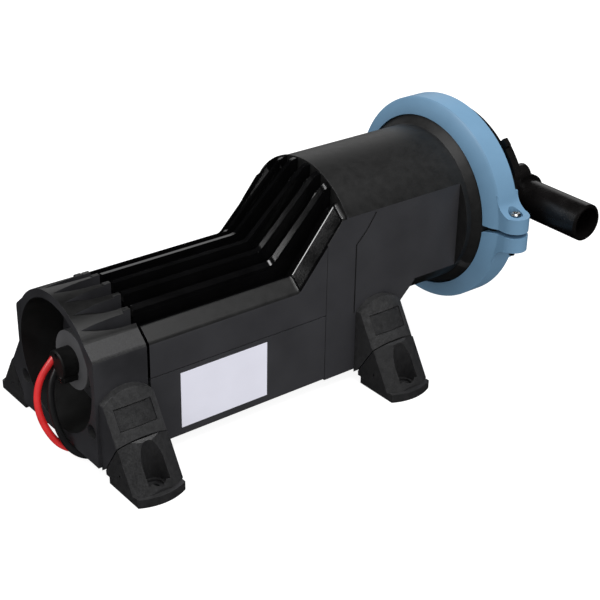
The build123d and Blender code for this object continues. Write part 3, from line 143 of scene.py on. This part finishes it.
# Rear cap. A moulded end piece with leaf shaped pockets between its ribs and a wide round
# opening for the cable, held by two long screws. Satin black, with the draw of the mould on it.
def moulding(name, colour, dullness, cloud, grain_size, grain_depth, speck=0.0, gloss=0.3,
             spread=0.25):
    """Moulded plastic: a colour with faint clouds, uneven shine and the grain of its mould.

    The grain's size and depth are in metres. Speck says how far the grain shows in the colour,
    and spread how far the colour strays to either side.
    """
    finish = bpy.data.materials.new(name)
    finish.use_nodes = True
    tree = finish.node_tree
    shader = tree.nodes["Principled BSDF"]
    shader.inputs["Specular IOR Level"].default_value = gloss
    place = tree.nodes.new("ShaderNodeTexCoord")
    clouds = tree.nodes.new("ShaderNodeTexNoise")
    clouds.inputs["Scale"].default_value = cloud
    clouds.inputs["Detail"].default_value = 6.0
    tree.links.new(place.outputs["Object"], clouds.inputs["Vector"])
    grain = tree.nodes.new("ShaderNodeTexNoise")
    grain.inputs["Scale"].default_value = 1.0 / grain_size
    grain.inputs["Detail"].default_value = 3.0
    grain.inputs["Roughness"].default_value = 0.6
    tree.links.new(place.outputs["Object"], grain.inputs["Vector"])
    blend = tree.nodes.new("ShaderNodeMix")
    blend.inputs["Factor"].default_value = speck
    tree.links.new(clouds.outputs["Fac"], blend.inputs["A"])
    tree.links.new(grain.outputs["Fac"], blend.inputs["B"])
    tint = tree.nodes.new("ShaderNodeValToRGB")
    tint.color_ramp.elements[0].position = 0.35
    tint.color_ramp.elements[0].color = (*[channel * (1 - spread) for channel in colour], 1)
    tint.color_ramp.elements[1].position = 0.68
    tint.color_ramp.elements[1].color = (*[channel * (1 + spread) for channel in colour], 1)
    tree.links.new(blend.outputs["Result"], tint.inputs["Fac"])
    tree.links.new(tint.outputs["Color"], shader.inputs["Base Color"])
    dull = tree.nodes.new("ShaderNodeMapRange")
    dull.inputs["From Min"].default_value = 0.3
    dull.inputs["From Max"].default_value = 0.7
    dull.inputs["To Min"].default_value, dull.inputs["To Max"].default_value = dullness
    tree.links.new(blend.outputs["Result"], dull.inputs["Value"])
    tree.links.new(dull.outputs["Result"], shader.inputs["Roughness"])
    relief = tree.nodes.new("ShaderNodeBump")
    relief.inputs["Strength"].default_value = 0.6
    relief.inputs["Distance"].default_value = grain_depth
    tree.links.new(grain.outputs["Fac"], relief.inputs["Height"])
    tree.links.new(relief.outputs["Normal"], shader.inputs["Normal"])
    return finish


def soften(node, name, radius, finishes, which, body="case"):
    """The piece as it comes from its mould: every sharp edge is rounded by the mould's corner.

    Which says, from a face's place and facing, the finish that the face takes.
    """
    weld_distance = 2e-6
    flat_angle = math.radians(1.0)
    sharp_angle = math.radians(28)
    crease_angle = math.radians(50)
    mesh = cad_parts[node].data.copy()
    mesh.name = name
    mesh.materials.clear()
    form = bmesh.new()
    form.from_mesh(mesh)
    bmesh.ops.remove_doubles(form, verts=form.verts, dist=weld_distance)
    bmesh.ops.dissolve_limit(form, angle_limit=flat_angle, verts=form.verts, edges=form.edges)
    sharp = [edge for edge in form.edges
             if len(edge.link_faces) == 2 and edge.calc_face_angle(0) > sharp_angle]
    bmesh.ops.bevel(form, geom=sharp, offset=radius, offset_type="OFFSET", segments=2,
                    profile=0.5, affect="EDGES", clamp_overlap=True, loop_slide=True)
    for face in form.faces:
        face.smooth = True
    form.to_mesh(mesh)
    form.free()
    mesh.set_sharp_from_angle(angle=crease_angle)
    for finish in finishes:
        mesh.materials.append(finish)
    for face in mesh.polygons:
        face.material_index = which(face.center, face.normal)
    piece = bpy.data.objects.new(name, mesh)
    bpy.context.scene.collection.objects.link(piece)
    shading = piece.modifiers.new("even_shading", "WEIGHTED_NORMAL")
    shading.keep_sharp = True
    shading.weight = 80
    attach(piece, body)
    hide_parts(node)
    return piece


def one_finish(place, facing):
    """The same finish all over."""
    return 0


cap_black = moulding("cap_black", (0.028, 0.028, 0.031), (0.32, 0.42), 40.0, 0.0006, 0.00002,
                     gloss=0.25)
grained_black = moulding("grained_black", (0.03, 0.03, 0.031), (0.4, 0.56), 300.0, 0.0009,
                         0.00015, speck=0.6, gloss=0.5, spread=0.4)
rib_black = moulding("rib_black", (0.007, 0.007, 0.007), (0.3, 0.42), 200.0, 0.0009, 0.00006,
                     speck=0.4, gloss=0.4)
# Painted shade: the walls inside the cable opening take this darker black in place of the shade
# that falls in the recess.
painted_shade_black = moulding("painted_shade_black", (0.01, 0.01, 0.01), (0.35, 0.45), 80.0, 0.0009, 0.00003,
                      gloss=0.2)
opening_axis_z = 0.0544
opening_radius = 0.0408
shoulder_y = 0.035
hood_top_z = 0.06


def cap_finish(place, facing):
    """Painted shade inside the opening as a deeper black, plain on the sides and rear, grained
    shoulders and hoods.
    """
    from_axis = math.hypot(place.y, place.z - opening_axis_z)
    if from_axis < opening_radius and facing.x > -0.7:
        return 3
    if facing.y ** 2 > 0.9 or facing.x < -0.9:
        return 0
    return 1 if abs(place.y) > shoulder_y or place.z < hood_top_z else 2


soften("rear_cap", "cable_end_cap", 0.0007, [cap_black, grained_black, rib_black, painted_shade_black],
       cap_finish)


# Top cover. A ribbed lid of glossy black, with three cooling ribs each side of the middle that
# climb the slope to the barrel. Its shoulders keep the grain of the mould.
polished_black = moulding("polished_black", (0.0025, 0.0025, 0.0027), (0.1, 0.16), 60.0, 0.0012,
                          0.000015, gloss=0.5)
fine_black = moulding("fine_black", (0.012, 0.012, 0.012), (0.38, 0.5), 200.0, 0.0009, 0.00006,
                      speck=0.4, gloss=0.5)
satin_black = moulding("satin_black", (0.037, 0.037, 0.041), (0.32, 0.42), 40.0, 0.0006, 0.00002,
                       spread=0.1)
ribbed_half_width = 0.0342


def lid_finish(place, facing):
    """Polished ribs and slope, finely grained shoulders and satin sides."""
    if abs(place.y) < ribbed_half_width or facing.x < -0.3:
        return 0
    return 1 if facing.z > 0.3 else 2


soften("top_cover", "ribbed_lid", 0.0017, [polished_black, fine_black, satin_black], lid_finish)

# Base cover. The tray under the motor, plain and satin, with the cradles inside it.
soften("base_cover", "motor_tray", 0.0007, [satin_black], one_finish)

# Front housing. One moulding from the gearbox to the flange: smooth sides, a grained barrel and
# hoods, and a flared collar for the clamp ring.
box_half_width = 0.0445


def housing_finish(place, facing):
    """Satin sides, grained hoods over the feet, and a fine grain on the barrel."""
    if abs(place.y) > box_half_width and place.z < hood_top_z:
        return 1
    return 0 if facing.y ** 2 > 0.9 and abs(place.y) < box_half_width else 2


soften("front_housing", "barrel_housing", 0.0007, [satin_black, grained_black, fine_black],
       housing_finish)

# Feet. Four matt feet clip into the hoods by a latch on the slope, and take a screw each.
foot_black = moulding("foot_black", (0.019, 0.019, 0.02), (0.36, 0.54), 320.0, 0.0009, 0.00018,
                      speck=0.6, gloss=0.8, spread=0.4)
for corner in ("rear_near", "rear_far", "front_near", "front_far"):
    soften(f"foot_{corner}", f"clip_foot_{corner}", 0.0008, [foot_black], one_finish)

# Clamp ring. Two halves of light steel blue plastic that hold the pump head on the flange,
# drawn together at a lug on each side.
ring_blue = moulding("ring_blue", (0.15, 0.285, 0.43), (0.34, 0.44), 25.0, 0.0008, 0.00002,
                     spread=0.06)
soften("clamp_ring_upper", "upper_clamp_half", 0.0008, [ring_blue], one_finish)
soften("clamp_ring_lower", "lower_clamp_half", 0.0008, [ring_blue], one_finish)


# Metal parts. Turned and rolled steel, brass, copper and die cast alloy, brushed by their making.
def metal(name, colour, dullness, brush):
    """Bare metal with fine marks from turning and a slightly clouded shine."""
    finish = bpy.data.materials.new(name)
    finish.use_nodes = True
    tree = finish.node_tree
    shader = tree.nodes["Principled BSDF"]
    shader.inputs["Metallic"].default_value = 1.0
    place = tree.nodes.new("ShaderNodeTexCoord")
    marks = tree.nodes.new("ShaderNodeTexNoise")
    marks.inputs["Scale"].default_value = brush
    marks.inputs["Detail"].default_value = 5.0
    tree.links.new(place.outputs["Object"], marks.inputs["Vector"])
    tint = tree.nodes.new("ShaderNodeValToRGB")
    tint.color_ramp.elements[0].position = 0.3
    tint.color_ramp.elements[0].color = (*[channel * 0.8 for channel in colour], 1)
    tint.color_ramp.elements[1].position = 0.7
    tint.color_ramp.elements[1].color = (*colour, 1)
    tree.links.new(marks.outputs["Fac"], tint.inputs["Fac"])
    tree.links.new(tint.outputs["Color"], shader.inputs["Base Color"])
    dull = tree.nodes.new("ShaderNodeMapRange")
    dull.inputs["To Min"].default_value, dull.inputs["To Max"].default_value = dullness
    tree.links.new(marks.outputs["Fac"], dull.inputs["Value"])
    tree.links.new(dull.outputs["Result"], shader.inputs["Roughness"])
    relief = tree.nodes.new("ShaderNodeBump")
    relief.inputs["Strength"].default_value = 0.3
    relief.inputs["Distance"].default_value = 0.00003
    tree.links.new(marks.outputs["Fac"], relief.inputs["Height"])
    tree.links.new(relief.outputs["Normal"], shader.inputs["Normal"])
    return finish


def dress(finish, *nodes):
    """A piece from the frame whose shape is right takes its finish."""
    for node in nodes:
        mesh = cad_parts[node].data
        mesh.materials.clear()
        mesh.materials.append(finish)


bright_steel = metal("bright_steel", (0.66, 0.66, 0.65), (0.18, 0.34), 700.0)
dress(bright_steel, "clamp_screws", "clamp_nuts", "valve_pins", "diaphragm_screw",
      "big_end_bearing", "eccentric", "output_shaft", "shaft_bearings", "worm", "motor_shaft",
      "motor_screws", "gland_screw", "cap_screws", "cover_screws", "frame_screws")
can_steel = metal("can_steel", (0.5, 0.5, 0.52), (0.28, 0.42), 260.0)
dress(can_steel, "motor_can", "armature")
cast_alloy = metal("cast_alloy", (0.46, 0.46, 0.48), (0.42, 0.6), 420.0)
dress(cast_alloy, "gearbox_frame", "motor_rear_bell", "motor_front_bell")
turned_brass = metal("turned_brass", (0.62, 0.43, 0.16), (0.2, 0.36), 600.0)
dress(turned_brass, "worm_bush", "motor_rear_bush", "motor_front_bush")
copper = metal("copper", (0.66, 0.26, 0.12), (0.24, 0.42), 900.0)
dress(copper, "winding", "commutator", "lead_tips")

# Other hidden parts. Ferrite magnets, carbon brushes, and gear, rod and plates of pale nylon.
magnet_grey = moulding("magnet_grey", (0.06, 0.06, 0.065), (0.4, 0.55), 200.0, 0.0005, 0.00003)
dress(magnet_grey, "motor_magnets")
carbon = moulding("carbon", (0.03, 0.03, 0.03), (0.5, 0.7), 500.0, 0.0003, 0.00003)
dress(carbon, "brushes")
gear_nylon = moulding("gear_nylon", (0.62, 0.58, 0.48), (0.38, 0.5), 120.0, 0.0008, 0.00002)
dress(gear_nylon, "worm_wheel", "connecting_rod", "brush_holder", "diaphragm_rear_plate",
      "diaphragm_front_plate")

# Pump head. A round glossy black cover with its port tube and two hose spigots across the front.
head_black = moulding("head_black", (0.0055, 0.005, 0.005), (0.2, 0.3), 80.0, 0.0009, 0.00003,
                      gloss=0.4)
soften("pump_head", "port_head", 0.0008, [head_black], one_finish, body="head")

# Seals. The diaphragm and the two flap valves are matt black rubber.
seal_rubber = moulding("seal_rubber", (0.018, 0.018, 0.018), (0.6, 0.8), 150.0, 0.0006, 0.00004)
dress(seal_rubber, "diaphragm", "inlet_valve", "outlet_valve")

# Cable entry. A grey disc closes the opening, with a rubber gland on it and one small screw.
disc_grey = moulding("disc_grey", (0.1, 0.1, 0.105), (0.4, 0.55), 90.0, 0.0008, 0.00004,
                     spread=0.1)
soften("cable_boot", "entry_disc", 0.0006, [disc_grey], one_finish)
gland_rubber = moulding("gland_rubber", (0.007, 0.007, 0.007), (0.5, 0.7), 150.0, 0.0006, 0.00004)
soften("cable_gland", "rubber_gland", 0.0006, [gland_rubber], one_finish)

# Label. A bare film stuck to the near side of the tray, white with a trace of lavender.
label_film = moulding("label_film", (0.8, 0.8, 0.9), (0.3, 0.42), 30.0, 0.0015, 0.00001,
                      spread=0.03)
dress(label_film, "label")


# Studio. A plain white floor, as bright as a light table, under a pale even sky. A soft key light
# hangs over the near side, a strip behind the cable end only draws the shine on the slope, and a
# broad light beyond the pump head shades the round tops.
def soft_light(name, place, size, power, only_shine=False):
    """A rectangle of soft light, in metres and watts, that faces the middle of the pump."""
    lamp = bpy.data.lights.new(name, "AREA")
    lamp.shape = "RECTANGLE"
    lamp.size, lamp.size_y = size
    lamp.energy = power
    holder = bpy.data.objects.new(name, lamp)
    bpy.context.scene.collection.objects.link(holder)
    holder.location = place
    aim = pump_middle - Vector(place)
    holder.rotation_euler = aim.to_track_quat("-Z", "Y").to_euler()
    holder.visible_camera = False
    holder.visible_diffuse = not only_shine


pump_middle = Vector((0.08, 0.0, 0.06))
soft_light("key", (0.11, -0.47, 1.12), (0.36, 0.36), 4.6)
soft_light("rear_strip", (-0.77, 0.12, 0.858), (0.65, 0.2), 7.0, only_shine=True)
soft_light("backdrop", (1.0, 1.3, 0.6), (1.6, 0.9), 3.0)
floor_mesh = bpy.data.meshes.new("studio_floor")
floor_reach = 6.0
corners = [(across * floor_reach, along * floor_reach, 0)
           for across, along in ((-1, -1), (1, -1), (1, 1), (-1, 1))]
floor_mesh.from_pydata(corners, [], [(0, 1, 2, 3)])
studio_floor = bpy.data.objects.new("studio_floor", floor_mesh)
bpy.context.scene.collection.objects.link(studio_floor)
floor_paint = bpy.data.materials.new("floor_paint")
floor_paint.use_nodes = True
floor_shader = floor_paint.node_tree.nodes["Principled BSDF"]
floor_shader.inputs["Base Color"].default_value = (0.3, 0.3, 0.3, 1)
floor_shader.inputs["Roughness"].default_value = 0.9
floor_shader.inputs["Emission Color"].default_value = (1, 1, 1, 1)
floor_shader.inputs["Emission Strength"].default_value = 0.9
floor_mesh.materials.append(floor_paint)
studio_floor.visible_diffuse = False
studio_floor.visible_glossy = False
world = bpy.data.worlds.new("studio")
world.use_nodes = True
world.node_tree.nodes["Background"].inputs["Color"].default_value = (1, 1, 1, 1)
sky = world.node_tree
sky_direction = sky.nodes.new("ShaderNodeTexCoord")
sky_parts = sky.nodes.new("ShaderNodeSeparateXYZ")
sky.links.new(sky_direction.outputs["Generated"], sky_parts.inputs["Vector"])
sky_level = sky.nodes.new("ShaderNodeMapRange")
sky_level.inputs["From Min"].default_value = -1.0
sky_level.inputs["To Min"].default_value = 0.45
sky_level.inputs["To Max"].default_value = 1.15
sky.links.new(sky_parts.outputs["Z"], sky_level.inputs["Value"])
sky.links.new(sky_level.outputs["Result"], sky.nodes["Background"].inputs["Strength"])
world.cycles_visibility.glossy = False
bpy.context.scene.world = world
bpy.context.scene.view_settings.view_transform = "Standard"
